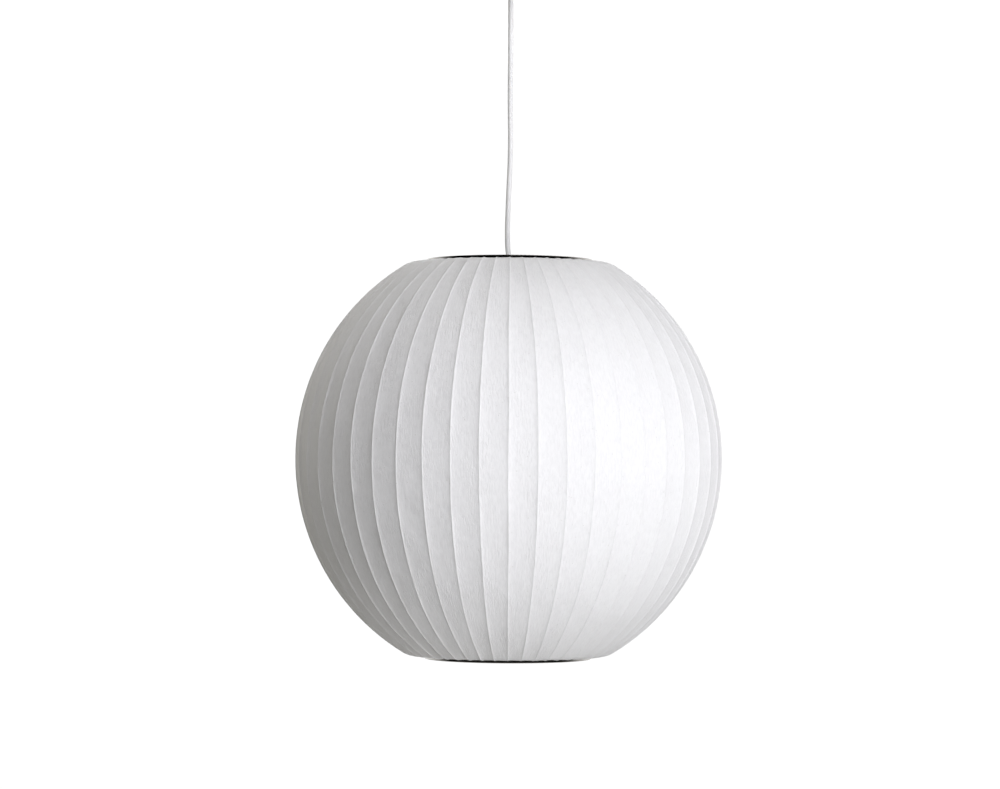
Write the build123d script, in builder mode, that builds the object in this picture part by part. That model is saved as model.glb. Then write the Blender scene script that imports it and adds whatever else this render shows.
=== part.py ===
"""Ball pendant lantern.

A cage of upright steel wires is set into a top and a bottom ring and covered by one thin film. A three-armed
spider in the top ring carries the lampholder and the cord, and the cord hangs the lantern from a ceiling cup.
Millimetres, +Z up. The origin is on the ceiling plane, midway between the two ceiling screw slots.
"""
import os
from math import acos, atan2, cos, degrees, pi, radians, sin, sqrt, tan

from build123d import *

os.makedirs("parts", exist_ok=True)

CORNER = (Align.MIN, Align.MIN)
STANDING = (Align.CENTER, Align.CENTER, Align.MIN)
HANGING = (Align.CENTER, Align.CENTER, Align.MAX)

# ---------------------------------------------------------------- overall sizes
lantern_diameter = 325.0
lantern_height = 303.6
suspension_drop = 393.0         # ceiling plane to the middle of the lantern

# ---------------------------------------------------------------- fits
slide_gap = 0.05                # radial, a piece that drops into or over another of the same body
hole_gap = 0.2                  # radial, a screw through a plain hole
seat_gap = 0.02                 # between two faces of the same body that touch
free_gap = 0.3                  # between pieces that move past each other

# ---------------------------------------------------------------- film, cage and rings
film_thickness = 0.6
wire_radius = 0.8
wire_count = 48
ring_radius = 63.5
shoulder_reach = 12.9           # ring to where the side would meet the flat top if that corner were sharp
shoulder_round = 16.0
ring_wall = 1.3
ring_lip = 2.5                  # how far a ring stands out past the film
ring_depth = 6.8
ring_edge_round = 0.4
flange_thickness = 1.2
top_flange_width = 10.0
bottom_flange_width = 4.0
wire_tail = 0.8                 # how far a wire's end stands inside the ring's wall

# ---------------------------------------------------------------- spider
hub_radius = 22.0
hub_thickness = 2.0
hub_drop = 25.0                 # flange's underside to the hub's underside
arm_count = 3
first_arm_angle = 30.0
arm_width = 8.0
arm_thickness = 1.6
arm_foot_start = 12.0           # from the axis
arm_foot_length = 8.0
arm_toe_length = 9.0
arm_toe_gap = 1.0               # end of the toe to the ring's wall
arm_bend = 3.0
rivet_radius = 1.5
rivet_head_radius = 2.6
rivet_head_height = 1.1
ring_screw_radius = 1.45
ring_screw_head_radius = 2.6
ring_screw_head_height = 1.3
ring_screw_end = 0.8            # past its nut
ring_nut_flats = 5.5
ring_nut_height = 2.4

# ---------------------------------------------------------------- nipple, locknuts and cord grip
nipple_radius = 5.0
nipple_bore_radius = 3.25
locknut_flats = 14.0
locknut_height = 3.0
cap_drop = 3.0                  # lower locknut to the lampholder's cap
nipple_into_cap = 7.0
nipple_into_grip = 6.0
grip_radius = 7.5
grip_height = 15.0
grip_nose_radius = 4.6
grip_nose_height = 5.0
grip_mouth_round = 1.0
grip_screw_height = 8.0         # above the grip's foot
grub_radius = 1.45              # every headless set screw
grub_socket_radius = 0.75
grub_socket_depth = 1.4

# ---------------------------------------------------------------- cord and leads
cord_radius = 2.0
cord_into_grip = 8.5
cord_last_run = 18.0            # straight run down into the grip
lead_radius = 0.9
lead_spacing = 2.0

# ---------------------------------------------------------------- ceiling cup and bracket
canopy_radius = 60.0
canopy_depth = 28.0
canopy_wall = 1.2
canopy_round = 8.0
canopy_rim_gap = 0.5            # the cup's rim stops this far short of the ceiling
strap_thickness = 2.0
strap_width = 22.0
strap_bend = 1.5
ear_gap = 1.4                   # ear to the cup's inner wall
ear_drop = 16.0
side_screw_drop = 10.0          # below the ceiling
side_screw_radius = 1.95
side_screw_head_radius = 3.5
side_screw_head_height = 2.2
side_screw_end = 2.0            # past its ear
screw_slot_spacing = 70.0
screw_slot_width = 4.5
screw_slot_length = 9.0
supply_hole_radius = 8.0

# ---------------------------------------------------------------- gland under the cup
gland_radius = 9.0
gland_height = 11.0
gland_edge_round = 1.5
gland_neck_radius = 5.0
gland_neck_height = 7.8         # from the collar up through the cup's floor and the nut
gland_nut_flats = 17.0
gland_nut_height = 4.0
bush_radius = 4.8
bush_rise = 5.0                 # gland's mouth to the middle of the bush
swing_limit = 20.0              # degrees, about each of two crossed axes
bell_margin = 1.5               # degrees that the gland's bell opens past the steepest lean
stop_radius = 6.5
stop_height = 7.0
tail_end = 1.5                  # held cord past the top of the cord stop

# ---------------------------------------------------------------- terminal block
block_length = 18.0
block_width = 17.0
block_height = 12.9
block_offset = 11.0             # from the cup's axis to the block's near end
pole_spacing = 8.4
pole_drop = 6.45                # below the strap
tube_radius = 2.1
tube_bore_radius = 1.3
tube_inset = 1.0                # at each end, inside the block
clamp_screw_radius = 1.2
clamp_screw_length = 4.6
clamp_well_radius = 1.9
clamp_inset = 4.5               # from each end of the block
lead_into_block = 6.5
lead_turn_out = 2.5             # a lead's last turn to the block's end
block_screw_radius = 1.45
block_screw_head_radius = 2.6
block_screw_head_height = 1.8
block_screw_recess = 2.4

# ---------------------------------------------------------------- lampholder
holder_wall = 2.0
cap_collar_radius = 8.0
cap_collar_height = 7.0
cap_height = 20.0
cap_round = 9.0
cap_grub_drop = 3.5
body_overlap = 5.0              # how far the cap's rim laps over the body
carrier_drop = 2.0              # below the top of the body
carrier_thickness = 6.0
carrier_lead_spacing = 13.0
lead_into_carrier = 3.0
lead_out_of_nipple = 2.0        # nipple's foot to a lead's turn
lead_above_carrier = 4.0        # a lead's last turn to the carrier
shell_wall = 0.5
shell_room = 2.0                # threaded shell to the body's bore
thread_gap = 0.35               # bulb's thread to the threaded shell
shell_end = 2.0                 # the shell stops this far inside the body's mouth
strip_length = 16.0
strip_width = 5.0
strip_thickness = 0.5
strip_dimple_radius = 2.0
strip_dimple_height = 0.8
mouth_gap = 0.8                 # holder's mouth to the end of the bulb's screw cap

# ---------------------------------------------------------------- bulb
bulb_length = 108.0
contact_radius = 4.6
contact_height = 1.6
insulator_height = 3.2
insulator_inset = 1.7           # root of the bulb's thread to the insulator's edge
thread_crest_radius = 13.1
thread_depth = 0.9
thread_pitch = 3.62
thread_turns = 5
screw_cap_wall = 0.8
screw_cap_top = 1.0
cap_skirt_length = 4.0
collar_step = 0.5               # how far the collar stands out past the bulb's thread
collar_end_radius = 24.0
collar_bulge = 1.2              # how far the collar's side swells past a straight cone
collar_wall = 1.4
globe_radius = 30.0
globe_wall = 1.0
plate_thickness = 1.5
plate_inset = 2.0
board_width = 16.0
board_length = 20.0
board_thickness = 1.6

# ---------------------------------------------------------------- heights above the lantern's middle
half_height = lantern_height / 2
film_top = half_height - ring_lip
wire_inset = film_thickness + seat_gap + wire_radius
wire_top = film_top - wire_inset
flange_under = half_height - ring_depth
flange_top = flange_under + flange_thickness
hub_under = flange_under - hub_drop
hub_top = hub_under + hub_thickness
grip_low = hub_top + locknut_height + 2 * seat_gap
grip_top = grip_low + grip_height
nipple_top = grip_low + nipple_into_grip - seat_gap
cord_low = grip_top - cord_into_grip
cap_top = hub_under - locknut_height - cap_drop
nipple_low = cap_top - nipple_into_cap
dome_top = cap_top - cap_collar_height
cap_rim = dome_top - cap_height
body_top = cap_rim + body_overlap
carrier_top = body_top - carrier_drop
carrier_low = carrier_top - carrier_thickness
bulb_top = carrier_low - seat_gap - strip_thickness - strip_dimple_height - free_gap
insulator_top = bulb_top - contact_height - slide_gap
thread_top = insulator_top - insulator_height
thread_low = thread_top - thread_turns * thread_pitch
screw_cap_low = thread_low - cap_skirt_length
body_low = screw_cap_low + mouth_gap
globe_centre = bulb_top - bulb_length + globe_radius
collar_low = globe_centre + sqrt(globe_radius**2 - collar_end_radius**2)

# ---------------------------------------------------------------- heights below the ceiling
cup_floor = -canopy_depth + canopy_wall
gland_mouth = -canopy_depth - gland_height
pivot = gland_mouth + bush_rise
neck_top = -canopy_depth + gland_neck_height
stop_low = neck_top + seat_gap
tail_top = stop_low + stop_height + tail_end
pole_height = -strap_thickness - pole_drop
block_top = -strap_thickness - seat_gap
block_low = block_top - block_height

# ---------------------------------------------------------------- radii that follow
shoulder_radius = ring_radius + shoulder_reach
ring_bore_radius = ring_radius - ring_wall
film_inner_radius = ring_radius + seat_gap
toe_end = ring_bore_radius - arm_toe_gap
toe_start = toe_end - arm_toe_length
ring_screw_circle = toe_end - arm_toe_length / 2
rivet_circle = arm_foot_start + arm_foot_length / 2
shell_bore_radius = thread_crest_radius + thread_gap
body_bore_radius = shell_bore_radius + shell_wall + shell_room
body_radius = body_bore_radius + holder_wall
holder_radius = body_radius + slide_gap + holder_wall
thread_root_radius = thread_crest_radius - thread_depth
cap_bore_radius = thread_root_radius - screw_cap_wall
insulator_end_radius = thread_root_radius - insulator_inset
collar_start_radius = thread_crest_radius + collar_step
ear_face = canopy_radius - canopy_wall - ear_gap


def level(height):
    """Horizontal plane at a height above the lantern's middle."""
    return Plane.XY.offset(height - suspension_drop)


def upright(angle=0.0, zero=-suspension_drop):
    """Upright plane through the axis at an angle round it: X outwards, Y up from that zero height."""
    across = radians(angle)
    outwards = (cos(across), sin(across), 0)
    return Plane(origin=(0, 0, zero), x_dir=outwards, z_dir=(sin(across), -cos(across), 0))


# ================================================================ shade and cage
# The side is one arc centred on the mid-plane, through the equator and through the corner that the side
# and the flat top would make. That corner is rounded, and the top runs in level to the ring.
equator_radius = lantern_diameter / 2
corner_reach = shoulder_radius**2 + film_top**2 - equator_radius**2
side_centre = -corner_reach / (2 * (equator_radius - shoulder_radius))
side_radius = equator_radius - side_centre
round_height = film_top - shoulder_round
round_centre = side_centre + sqrt((side_radius - shoulder_round)**2 - round_height**2)
round_angle = degrees(atan2(round_height, round_centre - side_centre))


def side_arc(inset):
    """Draw the side as a plain arc, for a path."""
    CenterArc((side_centre, 0), side_radius - inset, round_angle, -2 * round_angle)


def side_curve(inset):
    """Draw the side as a weighted curve along the same arc, for a turned face.

    The arc's centre is past the axis, so turning the plain arc would make a torus that crosses itself.
    """
    half_turn = radians(round_angle)
    end_radius = side_centre + (side_radius - inset) * cos(half_turn)
    end_height = (side_radius - inset) * sin(half_turn)
    corner_radius = side_centre + (side_radius - inset) / cos(half_turn)
    Bezier(
        (end_radius, end_height),
        (corner_radius, 0),
        (end_radius, -end_height),
        weights=[1, cos(half_turn), 1],
    )


def meridian(inset, inner_radius, side):
    """Draw the meridian, set in by that much, from the top's inner edge round to the bottom's."""
    top = film_top - inset
    Line((inner_radius, top), (round_centre, top))
    CenterArc((round_centre, round_height), shoulder_round - inset, 90, round_angle - 90)
    side(inset)
    CenterArc((round_centre, -round_height), shoulder_round - inset, -round_angle, round_angle - 90)
    Line((round_centre, -top), (inner_radius, -top))


with BuildPart() as shade_film:
    with BuildSketch(upright()):
        with BuildLine():
            meridian(0, film_inner_radius, side_curve)
            meridian(film_thickness, film_inner_radius, side_curve)
            Line((film_inner_radius, film_top), (film_inner_radius, film_top - film_thickness))
            Line((film_inner_radius, -film_top), (film_inner_radius, film_thickness - film_top))
        make_face()
    revolve(axis=Axis.Z)

with BuildPart() as one_wire:
    with BuildLine(upright()) as wire_path:
        meridian(wire_inset, ring_bore_radius - wire_tail, side_arc)
    with BuildSketch(Plane(origin=wire_path.line @ 0, z_dir=wire_path.line % 0)):
        Circle(wire_radius)
    sweep()

with BuildPart() as cage_wires:
    with PolarLocations(0, wire_count):
        add(one_wire.part)


def ring_blank(flange_width):
    """Turn a ring for the top of the cage: its lip stands up, its flange turns in, and its wall is drilled."""
    with BuildPart() as blank:
        with BuildSketch(upright()):
            with Locations((ring_bore_radius, flange_under)):
                Rectangle(ring_wall, ring_depth, align=CORNER)
            fillet(vertices().group_by(Axis.Y)[-1], ring_edge_round)
            with Locations((ring_bore_radius - flange_width, flange_under)):
                Rectangle(flange_width + ring_wall / 2, flange_thickness, align=CORNER)
        revolve(axis=Axis.Z)
        with Locations((0, 0, wire_top - suspension_drop)):
            with PolarLocations(ring_radius - ring_wall / 2, wire_count):
                Cylinder(wire_radius + slide_gap, 2 * ring_wall, rotation=(0, 90, 0), mode=Mode.SUBTRACT)
    return blank.part


top_blank = ring_blank(top_flange_width)
bottom_blank = ring_blank(bottom_flange_width)

with BuildPart() as top_ring:
    add(top_blank)
    with BuildSketch(level(flange_under)):
        with PolarLocations(ring_screw_circle, arm_count, start_angle=first_arm_angle):
            Circle(ring_screw_radius + hole_gap)
    extrude(amount=flange_thickness, mode=Mode.SUBTRACT)

with BuildPart() as bottom_ring:
    mirror(bottom_blank, about=level(0))

# ================================================================ spider
with BuildPart() as spider_hub:
    with BuildSketch(level(hub_under)):
        Circle(hub_radius)
        Circle(nipple_radius + slide_gap, mode=Mode.SUBTRACT)
        with PolarLocations(rivet_circle, arm_count, start_angle=first_arm_angle):
            Circle(rivet_radius + slide_gap, mode=Mode.SUBTRACT)
    extrude(amount=hub_thickness)

foot_height = hub_top + seat_gap + arm_thickness / 2
toe_height = flange_under - seat_gap - arm_thickness / 2
arm_top = foot_height + arm_thickness / 2
toe_low = toe_height - arm_thickness / 2

spider_arms = []
for number in range(arm_count):
    arm_angle = first_arm_angle + number * 360 / arm_count
    with BuildPart() as spider_arm:
        with BuildSketch(upright(arm_angle)):
            with BuildLine():
                FilletPolyline(
                    (arm_foot_start, foot_height),
                    (arm_foot_start + arm_foot_length, foot_height),
                    (toe_start, toe_height),
                    (toe_end, toe_height),
                    radius=arm_bend,
                )
            trace(line_width=arm_thickness)
        extrude(amount=arm_width / 2, both=True)
        with BuildSketch(level(foot_height)):
            with PolarLocations(rivet_circle, 1, start_angle=arm_angle):
                Circle(rivet_radius + slide_gap)
        extrude(amount=arm_thickness, both=True, mode=Mode.SUBTRACT)
        with BuildSketch(level(toe_height)):
            with PolarLocations(ring_screw_circle, 1, start_angle=arm_angle):
                Circle(ring_screw_radius + hole_gap)
        extrude(amount=arm_thickness, both=True, mode=Mode.SUBTRACT)
    spider_arms.append(spider_arm)

with BuildPart() as hub_rivets:
    with PolarLocations(rivet_circle, arm_count, start_angle=first_arm_angle):
        with Locations((0, 0, hub_under - suspension_drop)):
            Cylinder(rivet_radius, arm_top - hub_under, align=STANDING)
        with Locations((0, 0, hub_under - seat_gap - suspension_drop)):
            Cylinder(rivet_head_radius, rivet_head_height, align=HANGING)
            Cylinder(rivet_radius, seat_gap, align=STANDING)
        with Locations((0, 0, arm_top + seat_gap - suspension_drop)):
            Cylinder(rivet_head_radius, rivet_head_height, align=STANDING)
            Cylinder(rivet_radius, seat_gap, align=HANGING)

ring_nut_top = toe_low - seat_gap
ring_screw_low = ring_nut_top - ring_nut_height - ring_screw_end

with BuildPart() as ring_screws:
    with BuildSketch(level(ring_screw_low)):
        with PolarLocations(ring_screw_circle, arm_count, start_angle=first_arm_angle):
            Circle(ring_screw_radius)
    extrude(amount=flange_top + seat_gap - ring_screw_low)
    with BuildSketch(level(flange_top + seat_gap)):
        with PolarLocations(ring_screw_circle, arm_count, start_angle=first_arm_angle):
            Circle(ring_screw_head_radius)
    extrude(amount=ring_screw_head_height)

with BuildPart() as ring_nuts:
    with BuildSketch(level(ring_nut_top)):
        with PolarLocations(ring_screw_circle, arm_count, start_angle=first_arm_angle):
            RegularPolygon(ring_nut_flats / 2, 6, major_radius=False)
            Circle(ring_screw_radius + slide_gap, mode=Mode.SUBTRACT)
    extrude(amount=-ring_nut_height)

# ================================================================ nipple, locknuts and cord grip
with BuildPart() as threaded_nipple:
    with BuildSketch(level(nipple_low)):
        Circle(nipple_radius)
        Circle(nipple_bore_radius, mode=Mode.SUBTRACT)
    extrude(amount=nipple_top - nipple_low)

with BuildPart() as upper_locknut:
    with BuildSketch(level(hub_top + seat_gap)):
        RegularPolygon(locknut_flats / 2, 6, major_radius=False)
        Circle(nipple_radius + slide_gap, mode=Mode.SUBTRACT)
    extrude(amount=locknut_height)

with BuildPart() as lower_locknut:
    with BuildSketch(level(hub_under - seat_gap)):
        RegularPolygon(locknut_flats / 2, 6, major_radius=False)
        Circle(nipple_radius + slide_gap, mode=Mode.SUBTRACT)
    extrude(amount=-locknut_height)

grip_bore_radius = cord_radius + free_gap

with BuildPart() as cord_grip:
    with BuildSketch(upright()):
        with BuildLine():
            Polyline(
                (0, grip_low),
                (grip_radius, grip_low),
                (grip_radius, grip_top - grip_nose_height),
                (grip_nose_radius, grip_top),
                (0, grip_top),
                close=True,
            )
        make_face()
    revolve(axis=Axis.Z)
    with BuildSketch(level(grip_low)):
        Circle(nipple_radius + slide_gap)
    extrude(amount=nipple_into_grip, mode=Mode.SUBTRACT)
    with BuildSketch(level(grip_low)):
        Circle(grip_bore_radius)
    extrude(amount=grip_height, mode=Mode.SUBTRACT)
    fillet(edges().group_by(Axis.Z)[-1].sort_by(SortBy.RADIUS)[0], grip_mouth_round)
    with BuildSketch(Plane.YZ):
        with Locations((0, grip_low + grip_screw_height - suspension_drop)):
            Circle(grub_radius + slide_gap)
    extrude(amount=grip_radius, mode=Mode.SUBTRACT)


def set_screw(inner_end, outer_end, height):
    """Headless screw along +X at that height above the origin, with a round socket in its outer end."""
    with BuildPart() as grub:
        with BuildSketch(Plane.YZ.offset(inner_end)):
            with Locations((0, height)):
                Circle(grub_radius)
        extrude(amount=outer_end - inner_end)
        with BuildSketch(Plane.YZ.offset(outer_end)):
            with Locations((0, height)):
                Circle(grub_socket_radius)
        extrude(amount=-grub_socket_depth, mode=Mode.SUBTRACT)
    return grub.part


grip_grub = set_screw(grip_bore_radius, grip_radius, grip_low + grip_screw_height - suspension_drop)

with BuildPart() as cord_grip_screw:
    add(grip_grub)

# ================================================================ lampholder
with BuildPart() as holder_cap:
    with BuildSketch(level(cap_rim)):
        Circle(holder_radius)
    extrude(amount=cap_height)
    fillet(edges().group_by(Axis.Z)[-1], cap_round)
    offset(amount=-holder_wall, openings=faces().sort_by(Axis.Z)[0])
    with BuildSketch(level(dome_top - holder_wall)):
        Circle(cap_collar_radius)
    extrude(amount=holder_wall + cap_collar_height)
    with BuildSketch(level(dome_top - holder_wall)):
        Circle(nipple_radius + slide_gap)
    extrude(amount=holder_wall + cap_collar_height, mode=Mode.SUBTRACT)
    with BuildSketch(Plane.YZ):
        with Locations((0, cap_top - cap_grub_drop - suspension_drop)):
            Circle(grub_radius + slide_gap)
    extrude(amount=holder_radius, mode=Mode.SUBTRACT)

cap_grub = set_screw(nipple_radius + seat_gap, cap_collar_radius, cap_top - cap_grub_drop - suspension_drop)

with BuildPart() as cap_lock_screw:
    add(cap_grub)

with BuildPart() as holder_body:
    with BuildSketch(level(body_low)):
        Circle(holder_radius)
    extrude(amount=cap_rim - seat_gap - body_low)
    with BuildSketch(level(body_low)):
        Circle(body_radius)
    extrude(amount=body_top - body_low)
    with BuildSketch(level(body_low)):
        Circle(body_bore_radius)
    extrude(amount=body_top - body_low, mode=Mode.SUBTRACT)

with BuildPart() as contact_carrier:
    with BuildSketch(level(carrier_low)):
        Circle(body_bore_radius - slide_gap)
        with GridLocations(carrier_lead_spacing, 0, 2, 1):
            Circle(lead_radius + hole_gap, mode=Mode.SUBTRACT)
    extrude(amount=carrier_thickness)

with BuildPart() as threaded_shell:
    with BuildSketch(level(carrier_low - seat_gap)):
        Circle(shell_bore_radius + shell_wall)
        Circle(shell_bore_radius, mode=Mode.SUBTRACT)
    extrude(amount=body_low + shell_end - carrier_low)

with BuildPart() as holder_contact:
    with BuildSketch(level(carrier_low - seat_gap)):
        Rectangle(strip_length, strip_width)
    extrude(amount=-strip_thickness)
    with BuildSketch(level(carrier_low - seat_gap - strip_thickness)):
        Circle(strip_dimple_radius)
    extrude(amount=-strip_dimple_height)

# ================================================================ bulb
with BuildPart() as bulb_contact:
    with BuildSketch(level(bulb_top)):
        Circle(contact_radius)
    extrude(amount=-contact_height)
    fillet(edges().group_by(Axis.Z)[-1], contact_height / 2)

with BuildPart() as bulb_insulator:
    with BuildSketch(upright()):
        with BuildLine():
            Polyline(
                (0, insulator_top),
                (contact_radius, insulator_top),
                (insulator_end_radius, thread_top + seat_gap),
                (0, thread_top + seat_gap),
                close=True,
            )
        make_face()
    revolve(axis=Axis.Z)

with BuildPart() as bulb_screw_cap:
    with BuildSketch(upright()):
        with BuildLine():
            for turn in range(thread_turns):
                crown = thread_top - turn * thread_pitch
                ThreePointArc(
                    (thread_root_radius, crown),
                    (thread_crest_radius, crown - thread_pitch / 2),
                    (thread_root_radius, crown - thread_pitch),
                )
            Polyline(
                (thread_root_radius, thread_low),
                (thread_root_radius, screw_cap_low),
                (cap_bore_radius, screw_cap_low),
                (cap_bore_radius, thread_top - screw_cap_top),
                (0, thread_top - screw_cap_top),
                (0, thread_top),
                (thread_root_radius, thread_top),
            )
        make_face()
    revolve(axis=Axis.Z)


def collar_outline(inset):
    """Draw the collar's swelling side, set in by that much, from its cap end to its globe end."""
    start = (collar_start_radius - inset, collar_high)
    end = (collar_end_radius - inset, collar_low)
    middle = ((start[0] + end[0]) / 2 + collar_bulge, (collar_high + collar_low) / 2)
    ThreePointArc(start, middle, end)
    return start, end


collar_high = screw_cap_low - seat_gap

with BuildPart() as bulb_collar:
    with BuildSketch(upright()):
        with BuildLine():
            outer_start, outer_end = collar_outline(0)
            Polyline(outer_start, (0, collar_high), (0, collar_low), outer_end)
        make_face()
        with BuildLine():
            inner_start, inner_end = collar_outline(collar_wall)
            Polyline(inner_start, (0, collar_high), (0, collar_low), inner_end)
        make_face(mode=Mode.SUBTRACT)
        with Locations((0, collar_high)):
            Rectangle(collar_start_radius, collar_wall, align=(Align.MIN, Align.MAX))
    revolve(axis=Axis.Z)

collar_taper = (collar_end_radius - collar_start_radius) / (collar_high - collar_low)
plate_radius = collar_end_radius - collar_wall - collar_taper * (plate_inset + plate_thickness) - seat_gap

with BuildPart() as led_plate:
    with BuildSketch(level(collar_low + plate_inset)):
        Circle(plate_radius)
    extrude(amount=plate_thickness)

with BuildPart() as driver_board:
    with BuildSketch(level(collar_low + plate_inset + plate_thickness + seat_gap)):
        Rectangle(board_width, board_thickness)
    extrude(amount=board_length)

with BuildPart() as bulb_globe:
    with BuildSketch(upright()):
        with Locations((0, globe_centre)):
            Circle(globe_radius)
            Circle(globe_radius - globe_wall, mode=Mode.SUBTRACT)
        with Locations((0, collar_low - seat_gap)):
            Rectangle(3 * globe_radius, globe_radius, align=(Align.CENTER, Align.MIN), mode=Mode.SUBTRACT)
        with Locations((0, globe_centre)):
            Rectangle(globe_radius, 3 * globe_radius, align=(Align.MAX, Align.CENTER), mode=Mode.SUBTRACT)
    revolve(axis=Axis.Z)

# ================================================================ ceiling bracket and cup
with BuildPart() as ceiling_bracket:
    with BuildSketch(upright(zero=0)):
        Rectangle(2 * ear_face, ear_drop, align=(Align.CENTER, Align.MAX))
        fillet(vertices().group_by(Axis.Y)[-1], strap_bend + strap_thickness)
        with Locations((0, -strap_thickness)):
            Rectangle(2 * (ear_face - strap_thickness), ear_drop, align=(Align.CENTER, Align.MAX),
                      mode=Mode.SUBTRACT)
    extrude(amount=strap_width / 2, both=True)
    strap_under = edges().filter_by(Axis.Y).filter_by_position(
        Axis.Z, -strap_thickness - seat_gap, seat_gap - strap_thickness
    )
    fillet(strap_under, strap_bend)
    with BuildSketch(Plane.XY):
        with GridLocations(screw_slot_spacing, 0, 2, 1):
            SlotOverall(screw_slot_length, screw_slot_width)
        Circle(supply_hole_radius)
        with Locations((block_offset + block_length / 2, 0)):
            Circle(block_screw_radius + slide_gap)
    extrude(amount=-strap_thickness, mode=Mode.SUBTRACT)
    with BuildSketch(Plane.YZ.offset(-ear_face)):
        with Locations((0, -side_screw_drop)):
            Circle(side_screw_radius + slide_gap)
    extrude(amount=2 * ear_face, mode=Mode.SUBTRACT)

with BuildPart() as canopy_cover:
    with BuildSketch(Plane.XY.offset(-canopy_depth)):
        Circle(canopy_radius)
    extrude(amount=canopy_depth - canopy_rim_gap)
    fillet(edges().group_by(Axis.Z)[0], canopy_round)
    offset(amount=-canopy_wall, openings=faces().sort_by(Axis.Z)[-1])
    with BuildSketch(Plane.XY.offset(-canopy_depth)):
        Circle(gland_neck_radius + slide_gap)
    extrude(amount=canopy_wall, mode=Mode.SUBTRACT)
    with BuildSketch(Plane.YZ.offset(-canopy_radius)):
        with Locations((0, -side_screw_drop)):
            Circle(side_screw_radius + hole_gap)
    extrude(amount=2 * canopy_radius, mode=Mode.SUBTRACT)

with BuildPart() as side_screws:
    with BuildSketch(Plane.YZ.offset(ear_face - strap_thickness - side_screw_end)):
        with Locations((0, -side_screw_drop)):
            Circle(side_screw_radius)
    extrude(amount=canopy_radius + slide_gap - ear_face + strap_thickness + side_screw_end)
    with BuildSketch(Plane.YZ.offset(canopy_radius + slide_gap)):
        with Locations((0, -side_screw_drop)):
            Circle(side_screw_head_radius)
    extrude(amount=side_screw_head_height)
    mirror(about=Plane.YZ)

# ================================================================ gland, bush and cord stop
lean_limit = degrees(acos(cos(radians(swing_limit))**2))
tail_gap = cord_radius * sin(radians(lean_limit)) + free_gap
cavity_radius = bush_radius + free_gap


def lean_room(angle, distance):
    """Radius that a cord leaning by that angle needs, at a distance from the middle of the bush."""
    lean = radians(angle)
    return cord_radius / cos(lean) + distance * tan(lean) + free_gap


bell_angle = lean_limit + bell_margin
bell_reach = bush_rise + seat_gap

with BuildPart() as cord_gland:
    with BuildSketch(Plane.XY.offset(gland_mouth)):
        Circle(gland_radius)
    extrude(amount=gland_height - seat_gap)
    fillet(edges().group_by(Axis.Z)[0], gland_edge_round)
    with BuildSketch(Plane.XY.offset(pivot)):
        Circle(gland_neck_radius)
    extrude(amount=neck_top - pivot)
    with BuildSketch(Plane.XY.offset(pivot)):
        Circle(cord_radius + slide_gap)
    extrude(amount=neck_top - pivot, mode=Mode.SUBTRACT)
    with BuildSketch(upright(zero=pivot)):
        with BuildLine():
            Polyline(
                (0, 0),
                (lean_room(bell_angle, 0), 0),
                (lean_room(bell_angle, bell_reach), -bell_reach),
                (0, -bell_reach),
                close=True,
            )
        make_face()
    revolve(axis=Axis.Z, mode=Mode.SUBTRACT)
    with Locations((0, 0, pivot)):
        Sphere(cavity_radius, mode=Mode.SUBTRACT)

with BuildPart() as gland_bush:
    with Locations((0, 0, pivot)):
        Sphere(bush_radius)
    with BuildSketch(upright(zero=pivot)):
        with BuildLine():
            Polyline(
                (0, bush_radius),
                (lean_room(swing_limit, bush_radius), bush_radius),
                (lean_room(swing_limit, 0), 0),
                (lean_room(swing_limit, bush_radius), -bush_radius),
                (0, -bush_radius),
                close=True,
            )
        make_face()
    revolve(axis=Axis.Z, mode=Mode.SUBTRACT)

with BuildPart() as gland_locknut:
    with BuildSketch(Plane.XY.offset(cup_floor + seat_gap)):
        RegularPolygon(gland_nut_flats / 2, 6, major_radius=False)
        Circle(gland_neck_radius + slide_gap, mode=Mode.SUBTRACT)
    extrude(amount=gland_nut_height)

stop_screw_height = stop_low + stop_height / 2

with BuildPart() as cord_stop:
    with BuildSketch(Plane.XY.offset(stop_low)):
        Circle(stop_radius)
        Circle(cord_radius + slide_gap, mode=Mode.SUBTRACT)
    extrude(amount=stop_height)
    with BuildSketch(Plane.YZ):
        with Locations((0, stop_screw_height)):
            Circle(grub_radius + slide_gap)
    extrude(amount=-stop_radius, mode=Mode.SUBTRACT)

stop_grub = set_screw(cord_radius + seat_gap, stop_radius, stop_screw_height)

with BuildPart() as cord_stop_screw:
    mirror(stop_grub, about=Plane.YZ)

# ================================================================ terminal block
block_middle = block_offset + block_length / 2
clamp_spacing = block_length - 2 * clamp_inset

with BuildPart() as terminal_block:
    with BuildSketch(Plane.XY.offset(block_top)):
        with Locations((block_middle, 0)):
            Rectangle(block_length, block_width)
            Circle(block_screw_radius + hole_gap, mode=Mode.SUBTRACT)
    extrude(amount=-block_height)
    with BuildSketch(Plane.XY.offset(block_low)):
        with Locations((block_middle, 0)):
            Circle(block_screw_head_radius + hole_gap)
            with GridLocations(clamp_spacing, pole_spacing, 2, 2):
                Circle(clamp_well_radius)
    extrude(amount=block_screw_recess, mode=Mode.SUBTRACT)
    with BuildSketch(Plane.XY.offset(block_low)):
        with Locations((block_middle, 0)):
            with GridLocations(clamp_spacing, pole_spacing, 2, 2):
                Circle(clamp_well_radius)
    extrude(amount=pole_height - block_low, mode=Mode.SUBTRACT)
    with BuildSketch(Plane.YZ.offset(block_offset)):
        with Locations((0, pole_height)):
            with GridLocations(pole_spacing, 0, 2, 1):
                Circle(tube_radius + slide_gap)
    extrude(amount=block_length, mode=Mode.SUBTRACT)

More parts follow.
